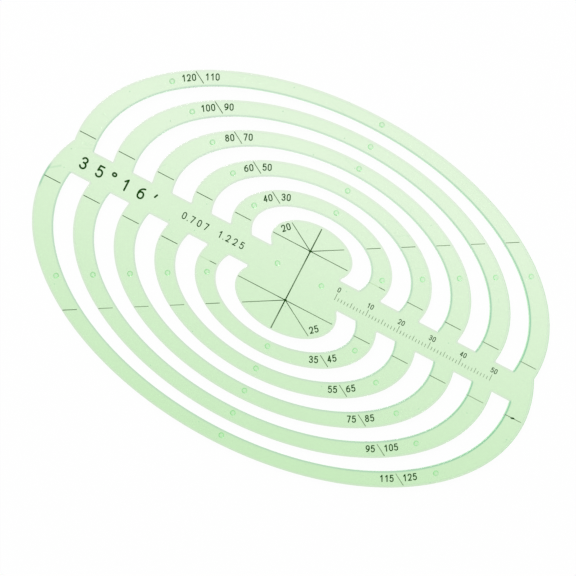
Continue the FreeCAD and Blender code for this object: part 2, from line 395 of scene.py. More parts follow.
def points_mesh(name: str, places: list[Spot]) -> bpy.types.Mesh:
    """Makes a mesh of loose points.

    Args:
        name: Its name.
        places: The points across and along.

    Returns:
        The mesh.
    """
    made = bpy.data.meshes.new(name)
    made.from_pydata([(x, y, 0.0) for x, y in places], [], [])
    return made


def plain_piece(name: str, seed: bpy.types.Mesh, tree: bpy.types.NodeTree,
                inputs: dict[str, object]) -> bpy.types.Object:
    """Runs a geometry tree on a mesh and keeps the result as one plain mesh.

    Args:
        name: The new piece's name.
        seed: The mesh that the tree starts from.
        tree: The geometry tree.
        inputs: Its inputs by name.

    Returns:
        The piece.
    """
    maker = placed(f"{name}_maker", seed)
    modifier = maker.modifiers.new(tree.name, "NODES")
    modifier.node_group = tree
    for socket in tree.interface.items_tree:
        if socket.item_type == "SOCKET" and socket.in_out == "INPUT" and socket.name in inputs:
            modifier[socket.identifier] = inputs[socket.name]
    graph = bpy.context.evaluated_depsgraph_get()
    plain = bpy.data.meshes.new_from_object(maker.evaluated_get(graph))
    plain.name = name
    bpy.data.objects.remove(maker)
    return placed(name, plain)


# The clear moulding


@dataclass
class MouldingSizes:
    """Sizes of the moulding in millimetres, the same as the solid's."""

    smallest_upper_size: float = 20.0
    smallest_lower_size: float = 25.0
    size_step: float = 10.0
    ring_count: int = 5
    centre_spacing: float = 16.0
    bar_width: float = 8.05
    bar_offset: float = 0.12
    plate_thickness: float = 1.2
    edge_rounding: float = 0.12
    slot_corner_radius: float = 0.35
    notch_radius: float = 0.5
    outward_gain_long: float = 0.18
    outward_gain_short: float = 0.29
    inward_gain_long: float = -0.05
    inward_gain_short: float = 0.29
    riser_height: float = 0.5
    riser_base_diameter: float = 1.75
    riser_tip_diameter: float = 0.8

    @property
    def middle_y(self) -> float:
        """The height between the two centres."""
        return (self.smallest_lower_size - self.smallest_upper_size) / 4 * SHORT_RATIO

    def smallest(self, half: Half) -> float:
        """The innermost size of a half."""
        return self.smallest_upper_size if half is Half.UPPER else self.smallest_lower_size

    def centre(self, half: Half) -> float:
        """The height of the centre of a half's ellipses."""
        return self.middle_y + half.value * self.centre_spacing / 2

    def outward_radii(self, size: float) -> Spot:
        """The long and the short radius of an edge that faces away from the centre."""
        return (size / 2 * LONG_RATIO + self.outward_gain_long,
                size / 2 * SHORT_RATIO + self.outward_gain_short)

    def inward_radii(self, size: float) -> Spot:
        """The long and the short radius of an edge that faces the centre."""
        return (size / 2 * LONG_RATIO - self.inward_gain_long,
                size / 2 * SHORT_RATIO - self.inward_gain_short)

    def ring_middles(self, half: Half) -> list[Spot]:
        """Works out the radii half way between the edges of each ring.

        Args:
            half: The half of the template.

        Returns:
            The long and the short radius for each ring, from the innermost.
        """
        found = []
        for ring in range(self.ring_count):
            size = self.smallest(half) + (1 + 2 * ring) * self.size_step
            inner, outer = self.inward_radii(size), self.outward_radii(size + self.size_step)
            found.append(((inner[0] + outer[0]) / 2, (inner[1] + outer[1]) / 2))
        return found

    def notch_height(self) -> float:
        """Finds where the largest ellipses of both halves cross, at the two ends of the bar.

        Returns:
            The height of the crossing.
        """
        (a, b), (c, d) = (self.outward_radii(self.smallest(half) + 2 * self.ring_count * self.size_step)
                          for half in Half)
        up, low = (self.centre(half) for half in Half)
        # a^2 (1 - (y - up)^2 / b^2) = c^2 (1 - (y - low)^2 / d^2)
        square = c * c / (d * d) - a * a / (b * b)
        linear = 2 * (a * a * up / (b * b) - c * c * low / (d * d))
        constant = a * a * (1 - up * up / (b * b)) - c * c * (1 - low * low / (d * d))
        return 2 * constant / (-linear - math.copysign(
            math.sqrt(linear * linear - 4 * square * constant), linear))


@dataclass
class RiserRows:
    """Where the risers stand under the rings, in millimetres, the same as the solid's."""

    shift: Spot = (0.34, 0.42)
    column_offset: float = 0.95
    bar_spacing: float = 14.05
    bar_shift: float = 0.04
    row_angle: float = 29.0
    # How far past the middle of the template the line of each slanted row starts
    drops: dict[tuple[Half, int], float] = field(default_factory=lambda: {
        (Half.UPPER, -1): 0.05, (Half.UPPER, 1): 2.5, (Half.LOWER, -1): 1.9, (Half.LOWER, 1): 1.25})

    def places(self, sizes: MouldingSizes) -> list[Spot]:
        """Works out every riser's place.

        Args:
            sizes: The moulding's sizes.

        Returns:
            The places across and along, in millimetres.
        """
        right, up = self.shift
        found = [(side * self.bar_spacing / 2 + self.bar_shift, sizes.middle_y + up)
                 for side in (-1, 1)]
        slope = math.tan(math.radians(self.row_angle))
        for half in Half:
            centre = sizes.centre(half) + up
            for long, short in sizes.ring_middles(half):
                rise = short * math.sqrt(1 - (self.column_offset / long) ** 2)
                found.append((right + self.column_offset, centre + half.value * rise))
                for side in (-1, 1):
                    start = -sizes.centre_spacing / 2 - self.drops[half, side]
                    square = 1 / long ** 2 + (slope / short) ** 2
                    linear = slope * start / short ** 2
                    constant = (start / short) ** 2 - 1
                    reach = (math.sqrt(linear ** 2 - square * constant) - linear) / square
                    found.append((right + side * reach,
                                  centre + half.value * (start + slope * reach)))
        return found


@dataclass
class MouldingMesh:
    """How finely the moulding is meshed, with lengths in millimetres."""

    points_per_slot_edge: int = 180
    points_per_outline_edge: int = 260
    corner_run: float = 0.9
    corner_steps: int = 5
    rounding_steps: int = 4
    rim_band: float = 0.6
    riser_sides: int = 28
    riser_rows: int = 3
    riser_slope_reach: float = 0.4
    weld_distance: float = 0.002


@dataclass(frozen=True)
class Arc:
    """The half ellipse that each numbered point of an edge lies on."""

    wiring: FormWiring
    side: Term
    centre: Term
    long: Term
    short: Term

    @classmethod
    def at(cls, wiring: FormWiring, lower: Term, steps: Term, gains: list[Term]) -> "Arc":
        """Works out an arc from the tree's inputs.

        Args:
            wiring: The tree.
            lower: 1 in the lower half and 0 in the upper one.
            steps: How many steps its size is above the smallest.
            gains: What its long and its short radius have more than the true ellipse.

        Returns:
            The arc.
        """
        smallest, centre = (wiring.pick(lower, wiring[upper], wiring[under]) for upper, under in (
            ("Smallest upper size", "Smallest lower size"), ("Upper centre", "Lower centre")))
        size = smallest + steps * wiring["Size step"]
        long, short = (size * (ratio / 2) + gain for ratio, gain in zip((LONG_RATIO, SHORT_RATIO), gains))
        return cls(wiring, 1.0 - lower * 2, centre, long, short)

    def start(self, height: Term) -> Term:
        """The angle at which it begins, at a height over the bar or the notch."""
        return self.wiring.math("ARCSINE", self.side * (height - self.centre) / self.short)

    def place(self, angle: Term) -> Term:
        """The point at an angle."""
        cosine, sine = (self.wiring.math(way, angle) for way in ("COSINE", "SINE"))
        return self.wiring.point(self.side * self.long * cosine, self.centre + self.side * self.short * sine)


class MouldingTree(FormWiring):
    """The tree that makes the moulding from its sizes."""

    def filled(self) -> bpy.types.NodeTree:
        """Adds the tree's nodes.

        Returns:
            The finished tree.
        """
        edges = self.joined(self.slot_edges(), self.outline_edge())
        rim = self.node("GeometryNodeSetPosition", Geometry=edges,
                        Offset=self.scaled(self.inward_step(), self["Rim band"]))[0]
        feet, footprints = self.risers()
        top = self.cap(rim, self["Plate thickness"] + self["Riser height"])
        bottom = self.cap(self.joined(rim, footprints), self["Riser height"])
        bottom = self.node("GeometryNodeFlipFaces", Mesh=bottom)[0]
        flats = self.shaded(self.joined(top, bottom), False)
        whole = self.joined(self.walls(edges), feet, flats)
        whole = self.node("GeometryNodeMergeByDistance", Geometry=whole, Distance=self["Weld distance"])[0]
        return self.ended(whole, self["Material"])

    def inward_step(self) -> Term:
        """A step of one millimetre from an edge into the material, which lies to its left."""
        return self.vector("CROSS_PRODUCT", (0, 0, 1), self.node("GeometryNodeInputTangent")[0])[0]

    def loops(self, count: Term, group: Term | int, place: Term, radius: Term, inward: Term | float) -> Term:
        """Makes closed curves with rounded corners from numbered points.

        Args:
            count: How many points there are.
            group: The number of the curve that each point is on.
            place: Each point's place.
            radius: The radius at each point, 0 where there is no corner.
            inward: 1 at points on an edge that faces the ellipses' centre.

        Returns:
            The closed curves.
        """
        points = self.node("GeometryNodePoints", Count=count, Position=place)[0]
        points = self.marked(self.marked(points, "corner", radius), "inward", inward)
        curves = self.node("GeometryNodePointsToCurves", Points=points, Curve_Group_ID=group)[0]
        closed = self.node("GeometryNodeSetSplineCyclic", Geometry=curves, Cyclic=True)[0]
        smooth = self.rounded(closed, self["Corner steps"], self.mark("corner"))
        return self.node("GeometryNodeSetCurveNormal", {"mode": "Z_UP"}, Curve=smooth)[0]

    def slot_edges(self) -> Term:
        """Makes the edge of every slot: out along one ellipse, back along the next.

        Returns:
            One closed curve for each slot, with the material to its left.
        """
        # Numbers are compared half way between whole ones
        index, run, rings = self.index(), self["Points per slot edge"], self["Ring count"]
        band = self.math("FLOOR", (index + 0.5) / (run * 2))
        lower = band + 0.5 > rings
        in_band = index - band * (run * 2)
        outer = in_band + 0.5 > run
        along = in_band - run * outer
        gains = [self.pick(outer, self[f"Outward gain {way}"], 0.0 - self[f"Inward gain {way}"])
                 for way in ("long", "short")]
        arc = Arc.at(self, lower, (band - rings * lower) * 2 + outer, gains)
        start = arc.start(self["Bar middle"] + arc.side * self["Bar width"] * 0.5)
        span = math.pi - start * 2
        speed = self.math("SQRT", self.math("POWER", arc.long * self.math("SINE", start), 2.0)
                          + self.math("POWER", arc.short * self.math("COSINE", start), 2.0))
        # The first and last points lie on the bar, and the next ones a corner's run from it
        lead = self["Corner run"] / (speed * span)
        past_start = along > 0.5
        at_end = along + 1.5 > run
        within = past_start * (1.0 - at_end)
        share = within * (lead + (1.0 - lead * 2) * (along - 1.0) / (run - 3.0)) + at_end
        place = arc.place(start + span * self.pick(outer, share, 1.0 - share))
        radius = (1.0 - within) * self["Slot corner radius"]
        inward = self.math("MAXIMUM", outer, 1.0 - within)
        return self.loops(run * rings * 4, band, place, radius, inward)

    def outline_edge(self) -> Term:
        """Makes the outside edge: the largest ellipse of each half, joined in two notches.

        Returns:
            One closed curve with the material to its left.
        """
        index, run = self.index(), self["Points per outline edge"]
        lower = index + 0.5 > run
        along = index - run * lower
        arc = Arc.at(self, lower, self["Ring count"] * 2,
                     [self["Outward gain long"], self["Outward gain short"]])
        start = arc.start(self["Notch height"])
        place = arc.place(start + (math.pi - start * 2) * along / run)
        radius = (1.0 - (along > 0.5)) * self["Notch radius"]
        return self.loops(run * 2, 0, place, radius, 0.0)

    def walls(self, edges: Term) -> Term:
        """Runs the rim's section along every edge.

        Args:
            edges: The edges' curves.

        Returns:
            The walls with their rounded rims, and a band of each face beside them.
        """
        # Four points: in on the top face, its edge, the bottom face's edge, in on the bottom face
        index, thickness, band = self.index(), self["Plate thickness"], self["Rim band"]
        below = index > 1.5
        inner = self.math("ABSOLUTE", index - 1.5) > 1.0
        height = self["Riser height"] + thickness - below * thickness
        place = self.point(0.0 - inner * band, 0.0 - height)
        points = self.node("GeometryNodePoints", Count=4, Position=place)[0]
        section = self.node("GeometryNodePointsToCurves", Points=points)[0]
        section = self.rounded(section, self["Rounding steps"], self["Edge rounding"])
        # The inset and the facing place the painted shade inside the rims
        section = self.marked(section, "inset", (0.0 - self.coordinate("X")) / band)
        outward = self.scaled(self.inward_step(), -1.0)
        rails = self.marked(edges, "facing", outward, "FLOAT_VECTOR")
        walls = self.node("GeometryNodeCurveToMesh", Curve=rails, Profile_Curve=section)[0]
        return self.shaded(walls, True)

    def cap(self, loops: Term, height: Term) -> Term:
        """Fills a flat face between closed curves.

        Args:
            loops: The curves.
            height: How high the face lies.

        Returns:
            The face, which looks up.
        """
        face = self.node("GeometryNodeFillCurve", {"mode": "TRIANGLES"}, Curve=loops)[0]
        face = self.node("GeometryNodeTransform", Geometry=face, Translation=self.point(z=height))[0]
        return self.marked(face, "inset", 1.0)

    def risers(self) -> tuple[Term, Term]:
        """Makes the small tapered feet and the rings where they meet the plate.

        Returns:
            The feet, open at the plate, and the curves of their footprints.
        """
        sides, height = self["Riser sides"], self["Riser height"]
        base, tip = (self[f"Riser {end} diameter"] * 0.5 for end in ("base", "tip"))
        ring = self.node("GeometryNodeCurvePrimitiveCircle", Resolution=sides, Radius=base)[0]
        cone = self.node("GeometryNodeMeshCone", {"fill_type": "NONE"}, Vertices=sides, Depth=height,
                         Side_Segments=self["Riser rows"], Radius_Top=base, Radius_Bottom=tip)[0]
        off = self.math("ABSOLUTE", self.coordinate("Z") / height - 0.5)
        # The foot mark picks the slopes that the material paints with shade
        cone = self.marked(self.shaded(cone, True), "foot", off < self["Riser slope reach"])
        sole = self.node("GeometryNodeMeshCircle", {"fill_type": "NGON"}, Vertices=sides, Radius=tip)[0]
        sole = self.node("GeometryNodeFlipFaces", Mesh=sole)[0]
        foot = self.marked(self.joined(cone, sole), "inset", 1.0)
        feet, rings = (self.real(self.strewn(shape, self["Riser places"])) for shape in (foot, ring))
        return feet, rings


@dataclass
class Moulding:
    """The clear plate with its slots, bar, rounded edges and risers."""

    name: str = "clear_moulding"
    sizes: MouldingSizes = field(default_factory=MouldingSizes)
    rows: RiserRows = field(default_factory=RiserRows)
    mesh: MouldingMesh = field(default_factory=MouldingMesh)

    def build(self, finish: bpy.types.Material) -> bpy.types.Object:
        """Makes the moulding as one plain mesh.

        Args:
            finish: Its material.

        Returns:
            The finished piece.
        """
        sizes = self.inputs()
        sockets = {"Riser places": Kind.GEOMETRY} | sizes | {"Material": Kind.MATERIAL}
        tree = MouldingTree.group("moulding_from_sizes", sockets, {"Moulding": Kind.GEOMETRY}).filled()
        seed = points_mesh("riser_places", self.rows.places(self.sizes))
        return plain_piece(self.name, seed, tree, sizes | {"Material": finish})

    def inputs(self) -> dict[str, float | int]:
        """Names the tree's sizes after the fields, with the worked-out heights in place of two of them.

        Returns:
            The sizes by name.
        """
        sizes = self.sizes
        found = {part.name: getattr(group, part.name)
                 for group in (sizes, self.mesh) for part in fields(group)}
        found |= {"upper_centre": sizes.centre(Half.UPPER), "lower_centre": sizes.centre(Half.LOWER),
                  "bar_middle": sizes.middle_y + found.pop("bar_offset"),
                  "notch_height": sizes.notch_height()}
        del found["centre_spacing"]
        return {name.replace("_", " ").capitalize(): value for name, value in found.items()}


# Effects that finishes share


class Effect(ShadeWiring):
    """A shader node group, built once and placed in materials with their own values."""

    INPUTS: dict[str, object] = {}
    OUTPUTS = {"Mask": Kind.NUMBER}

    @property
    def position(self) -> Term:
        """Where each point of the piece is, which every group takes as an input."""
        return self["Position"]

    def outputs(self) -> dict[str, Term]:
        """Adds the group's nodes.

        Returns:
            Its outputs' values by name.
        """
        raise NotImplementedError

    @classmethod
    def place(cls, wiring: ShadeWiring, **inputs: object) -> Node:
        """Puts the group in a material.

        Args:
            wiring: The material's tree.
            **inputs: The group's other inputs by name, with _ for a space.

        Returns:
            The group's node.
        """
        tree = bpy.data.node_groups.get(cls.__name__)
        if tree is None:
            inside = cls.group(cls.__name__, {"Position": ORIGIN} | cls.INPUTS, cls.OUTPUTS)
            inside.node("NodeGroupOutput", **inside.outputs())
            tree = inside.tree
        return wiring.node("ShaderNodeGroup", {"node_tree": tree}, Position=wiring.position, **inputs)


class ToneDrift(Effect):
    """Painted light falloff: a colour that drifts from one end of the piece to the other, with faint clouds
    of tone.
    """

    INPUTS = {"Direction": (0.0, 1.0, 0.0), "Middle share": 0.5, "Cloud scale": 30.0,
              "Cloudiness": 0.1, "Low colour": (0.5, 0.5, 0.5, 1.0), "High colour": (1.0, 1.0, 1.0, 1.0)}
    OUTPUTS = {"Colour": Kind.COLOUR}

    def outputs(self) -> dict[str, Term]:
        """Blends the two colours along the direction, as a painted falloff of the light.

        Returns:
            The colour.
        """
        clouds = self.noise(self["Cloud scale"])
        share = self.dot(self.position, self["Direction"]) + self["Middle share"]
        share = share + (clouds - 0.5) * self["Cloudiness"]
        return {"Colour": self.blend(share, self["Low colour"], self["High colour"])}


class RimTone(Effect):
    """Two masks of painted shade inside the rims: one that is even, and one that grows with the way to a
    point.
    """

    INPUTS = {"Facing": ORIGIN, "Centre": ORIGIN, "Inset": 0.0, "Inward": 1.0,
              "Reach": 0.1, "Curve": 1.3, "Band full": 0.3, "Band fade": 0.75, "Gate": ORIGIN,
              "Gate reach": 0.004, "Gate core": 0.5, "Gate share": 0.5, "Outward share": 0.6}
    OUTPUTS = {"Near": Kind.NUMBER, "Far": Kind.NUMBER}

    def outputs(self) -> dict[str, Term]:
        """Marks painted shade in the band inside each rim, and a darker patch round one point.

        Returns:
            The two masks.
        """
        way = self.vector("SUBTRACT", self["Centre"], self.position)[0]
        reach = self.math("MAXIMUM", self.dot(self["Facing"], way) / self["Reach"], 0.0)
        share = self.math("MINIMUM", self.math("POWER", reach, self["Curve"]), 1.0)
        # A darker patch in the rim band round one point
        darkening = self.smooth(self.distance(self.position, self["Gate"]), self["Gate reach"],
                           self["Gate reach"] * self["Gate core"])
        band = self.smooth(self["Inset"], 0.0, self["Band full"]) \
            * self.smooth(self["Inset"], 1.0, self["Band fade"])
        far = self.math("MAXIMUM", share * self["Inward"], darkening * self["Gate share"])
        near = self.math("MAXIMUM", self["Inward"], self["Outward share"])
        return {"Near": band * near, "Far": band * far}


class FineScratches(Effect):
    """Fine scratches in many directions, as a height and a mask."""

    INPUTS = {"Scale": 60.0, "Width": 0.02, "Patch scale": 70.0, "Patch start": 0.48,
              "Patch full": 0.66}
    OUTPUTS = {"Height": Kind.NUMBER, "Mask": Kind.NUMBER}
    # The turn and the stretch of each set
    SETS = ((0.35, 14.0), (1.9, 11.0))

    def outputs(self) -> dict[str, Term]:
        """Draws the edges of long stretched cells, in patches.

        Returns:
            The height and the mask.
        """
        lines = []
        for turn, stretch in self.SETS:
            lie = self.node("ShaderNodeMapping", Vector=self.position, Rotation=(0, 0, turn),
                            Scale=(1.0, stretch, 1.0))[0]
            cells = self.node("ShaderNodeTexVoronoi",
                              {"feature": "DISTANCE_TO_EDGE", "voronoi_dimensions": "2D"},
                              Vector=lie, Scale=self["Scale"])["Distance"]
            lines.append(self.smooth(cells, self["Width"], 0.0))
        patches = self.noise(self["Patch scale"])
        mask = sum(lines) * self.smooth(patches, self["Patch start"], self["Patch full"])
        return {"Height": 0.0 - mask, "Mask": self.math("MINIMUM", mask, 1.0)}


class PolishHaze(Effect):
    """Uneven polish: a value that wanders between two ends in broad clouds."""

    INPUTS = {"Scale": 45.0, "Low": 0.0, "High": 1.0, "Cloud start": 0.35,
              "Cloud full": 0.7}
    OUTPUTS = {"Value": Kind.NUMBER}

    def outputs(self) -> dict[str, Term]:
        """Picks a value between the ends by the clouds.

        Returns:
            The value.
        """
        clouds = self.noise(self["Scale"])
        share = self.smooth(clouds, self["Cloud start"], self["Cloud full"])
        return {"Value": self.pick(share, self["Low"], self["High"])}


class SparseSpecks(Effect):
    """Sparse small specks."""

    INPUTS = {"Scale": 150.0, "Size": 0.00022, "Core": 0.5, "Share": 0.2}

    def outputs(self) -> dict[str, Term]:
        """Puts a dot in the middle of a share of the cells.

        Returns:
            The mask.
        """
        cells = self.node("ShaderNodeTexVoronoi", {"voronoi_dimensions": "2D"},
                          Vector=self.position, Scale=self["Scale"])
        chance = self.node("ShaderNodeSeparateColor", Color=cells["Color"])[0]
        size = self["Size"] * self["Scale"]
        dot = self.smooth(cells["Distance"], size, size * self["Core"])
        return {"Mask": dot * (chance < self["Share"])}


class LineMark(Effect):
    """One soft straight mark between two points."""

    INPUTS = {"Start": ORIGIN, "End": (0.01, 0.0, 0.0), "Width": 0.0003}

    def outputs(self) -> dict[str, Term]:
        """Fades with the distance from the line.

        Returns:
            The mask.
        """
        run, way = (self.vector("SUBTRACT", self[end], self["Start"])[0] for end in ("End", "Position"))
        along = self.limited(self.dot(way, run) / self.dot(run, run))
        gap = self.distance(way, self.scaled(run, along))
        return {"Mask": self.smooth(gap, self["Width"], 0.0)}


class InkWear(Effect):
    """How far a print has worn: more to one side, more away from two marked places, and in patches."""

    INPUTS = {"First place": ORIGIN, "Second place": ORIGIN, "Near": 0.01, "Far": 0.02,
              "Lean": ORIGIN, "Level": 0.3, "Patch scale": 300.0, "Patchiness": 0.5}
    OUTPUTS = {"Wear": Kind.NUMBER}

    def outputs(self) -> dict[str, Term]:
        """Adds up the wear.

        Returns:
            The wear.
        """
        gaps = [self.distance(self.position, self[name]) for name in ("First place", "Second place")]
        away = self.smooth(self.math("MINIMUM", *gaps), self["Near"], self["Far"])
        lean = self.dot(self.position, self["Lean"])
        noise = self.noise(self["Patch scale"], detail=3.0)
        worn = away * (self["Level"] + lean) + (noise - 0.5) * self["Patchiness"]
        return {"Wear": self.limited(worn)}


class WornSpot(Effect):
    """Wear that comes on top of the rest round one place."""

    INPUTS = {"Place": ORIGIN, "Radius": 0.002, "Core": 0.7, "Strength": 0.9, "Wear": 0.0}
    OUTPUTS = {"Wear": Kind.NUMBER}

    def outputs(self) -> dict[str, Term]:
        """Raises the wear inside the spot.

        Returns:
            The wear.
        """
        gap = self.distance(self.position, self["Place"])
        spot = self.smooth(gap, self["Radius"], self["Radius"] * self["Core"])
        return {"Wear": self.math("MAXIMUM", self["Wear"], spot * self["Strength"])}


# Finishes


def colour(tint: Tint) -> Four:
    """Turns a screen colour into the linear one that nodes take.

    Args:
        tint: Its red, green and blue, 0 to 255.

    Returns:
        The colour with full alpha.
    """
    shares = (value / 255 for value in tint)
    linear = (share / 12.92 if share <= 0.04045 else ((share + 0.055) / 1.055) ** 2.4 for share in shares)
    return *linear, 1.0


def on_face(place: Spot) -> Place:
    """Gives a place on the printed face in metres."""
    return place[0] * MM, place[1] * MM, FACE_HEIGHT * MM


@dataclass(frozen=True)
class ClearPlastic:
    """The pale green, polished plastic, which deepens with the length of the light's way in it."""

    name: str = "clear_green_plastic"
    ior: float = 1.49
    roughness: Spot = (0.015, 0.07)
    # The red, green and blue that pass through a depth in millimetres
    clear_share: Place = (0.81, 0.985, 0.842)
    clear_depth: float = 1.2
    dye_margin: float = 1.02
    trapped_turns: float = 1.5
    # Painted light falloff over the plate, paler towards the top and deeper towards the bottom, with faint
    # clouds of tone
    pale_tint: Tint = (249, 248, 236)
    deep_tint: Tint = (220, 237, 205)
    drift_span: float = 81.0
    drift_lean: float = -0.13
    drift_middle: float = 0.62
    cloud_scale: float = 24.0
    cloudiness: float = 0.12
    # Painted shade: the darker lines inside the rims, and a darker patch round one point at the outline's
    # left end
    near_rim_tint: Tint = (255, 208, 255)
    near_rim_share: float = 0.3
    far_rim_tint: Tint = (82, 185, 146)
    rim_centre: Spot = (-23.0, -7.0)
    rim_reach: float = 78.0
    rim_curve: float = 1.45
    gate: Spot = (-76.3, -6.9)
    gate_reach: float = 4.6
    gate_share: float = 0.5
    # Painted shade on the slopes of the risers, stronger towards the upper left
    foot_tint: Tint = (140, 90, 122)
    foot_least: float = 0.12
    foot_middle: float = 0.2
    foot_lean: Spot = (-0.008, 0.006)
    # Marks of the moulding and of use
    mark_tint: Tint = (150, 205, 170)
    flow_mark: tuple[Spot, Spot] = ((-76.3, -4.8), (-73.5, -2.6))
    flow_width: float = 0.5
    flow_share: float = 0.45
    speck_share: float = 0.5
    scratch_share: float = 0.12
    scratch_depth: float = 0.01
    scratch_strength: float = 0.35

    def tint(self, wiring: ShadeWiring, scratches: Node) -> Term:
        """Adds up the colours that vary over the plastic: painted light falloff, painted shade at the rims
        and on the risers' slopes, and marks.

        Args:
            wiring: The material's tree.
            scratches: The scratches.

        Returns:
            The colour.
        """
        # Painted light falloff: paler towards the top of the plate, deeper towards the bottom
        tint = ToneDrift.place(
            wiring, Middle_share=self.drift_middle, Cloud_scale=self.cloud_scale,
            Direction=(self.drift_lean / (self.drift_span * MM), 1 / (self.drift_span * MM), 0),
            Cloudiness=self.cloudiness, Low_colour=colour(self.deep_tint),
            High_colour=colour(self.pale_tint))["Colour"]
        own = {name: wiring.node("ShaderNodeAttribute", {"attribute_name": name})
               for name in ("inset", "inward", "facing", "foot")}
        rim = RimTone.place(
            wiring, Facing=own["facing"]["Vector"], Inset=own["inset"]["Fac"],
            Inward=own["inward"]["Fac"], Reach=self.rim_reach * MM, Curve=self.rim_curve,
            Centre=(self.rim_centre[0] * MM, self.rim_centre[1] * MM, 0.0), Gate=on_face(self.gate),
            Gate_reach=self.gate_reach * MM, Gate_share=self.gate_share)
        # Painted shade: darker lines in the band inside the rims, the far one stronger away from a point
        tint = wiring.blend(rim["Near"] * self.near_rim_share, tint, colour(self.near_rim_tint))
        tint = wiring.blend(rim["Far"], tint, colour(self.far_rim_tint))
        # Painted shade on the risers' slopes, stronger towards the upper left
        lean = wiring.dot(wiring.position, (self.foot_lean[0] / MM, self.foot_lean[1] / MM, 0.0))
        share = wiring.math("MAXIMUM", lean + self.foot_middle, self.foot_least)
        tint = wiring.blend(share * own["foot"]["Fac"], tint, colour(self.foot_tint))
        start, end = (on_face(place) for place in self.flow_mark)
        flow = LineMark.place(wiring, Start=start, End=end, Width=self.flow_width * MM)
        specks = SparseSpecks.place(wiring)
        marks = flow["Mask"] * self.flow_share + specks["Mask"] * self.speck_share \
            + scratches["Mask"] * self.scratch_share
        return wiring.blend(wiring.math("MINIMUM", marks, 1.0), tint, colour(self.mark_tint))

    def material(self) -> bpy.types.Material:
        """Makes the material.

        Returns:
            The material.
        """
        made = bpy.data.materials.new(self.name)
        wiring = ShadeWiring.of(made)
        scratches = FineScratches.place(wiring)
        tint = self.tint(wiring, scratches)
        haze = PolishHaze.place(wiring, Low=self.roughness[0], High=self.roughness[1])
        bump = wiring.node("ShaderNodeBump", Strength=self.scratch_strength,
                           Distance=self.scratch_depth * MM, Height=scratches["Height"])
        shell = wiring.node("ShaderNodeBsdfPrincipled", Base_Color=tint, Roughness=haze["Value"],
                            IOR=self.ior, Transmission_Weight=1.0, Normal=bump[0])
        # Light that is thrown to and fro inside the plate gets out in the end
        turns = wiring.node("ShaderNodeLightPath")["Glossy Depth"]
        leak = wiring.node("ShaderNodeBsdfPrincipled", Base_Color=tint, Roughness=self.roughness[1],
                           IOR=1.0, Transmission_Weight=1.0)
        surface = wiring.mixed(turns > self.trapped_turns, shell, leak)
        losses = [-math.log(share) / (self.clear_depth * MM) for share in self.clear_share]
        density = max(losses) * self.dye_margin
        body = wiring.node("ShaderNodeVolumeAbsorption", Density=density,
                           Color=(*(1 - loss / density for loss in losses), 1.0))
        wiring.node("ShaderNodeOutputMaterial", Surface=surface, Volume=body[0])
        return made


@dataclass(frozen=True)
class PrintedInk:
    """Dark green-black screen-printed ink, thin and worn in places."""

    name: str
    dark: Tint = (20, 70, 5)
    worn: Tint = (200, 228, 188)
    wear_level: float = 0.0
    wear_lean: float = 0.0
    fresh_places: tuple[Spot, Spot] = ((-0.31, 8.5), (-0.31, -7.0))
    near: float = 1.0
    far: float = 5.0
    patch_scale: float = 260.0
    patchiness: float = 0.35
    worn_spots: tuple[Four, ...] = ()
    roughness: float = 0.62
    shine: float = 0.04
    grain_scale: float = 4000.0
    grain_depth: float = 0.01
    grain_strength: float = 0.3

    def material(self) -> bpy.types.Material:
        """Makes the material.

        Returns:
            The material.
        """
        made = bpy.data.materials.new(self.name)
        wiring = ShadeWiring.of(made)
        first, second = (on_face(place) for place in self.fresh_places)
        wear = InkWear.place(wiring, First_place=first, Second_place=second,
                             Near=self.near * MM, Far=self.far * MM, Level=self.wear_level,
                             Lean=(self.wear_lean / MM, 0.0, 0.0), Patch_scale=self.patch_scale,
                             Patchiness=self.patchiness)
        for x, y, radius, strength in self.worn_spots:
            wear = WornSpot.place(wiring, Place=on_face((x, y)), Radius=radius * MM,
                                  Strength=strength, Wear=wear["Wear"])
        tint = wiring.blend(wear["Wear"], colour(self.dark), colour(self.worn))
        bump = wiring.node("ShaderNodeBump", Strength=self.grain_strength,
                           Distance=self.grain_depth * MM, Height=wiring.noise(self.grain_scale))
        shell = wiring.node("ShaderNodeBsdfPrincipled", Base_Color=tint, Roughness=self.roughness,
                            Specular_IOR_Level=self.shine, Normal=bump[0])
        wiring.node("ShaderNodeOutputMaterial", Surface=shell[0])
        return made


# The print


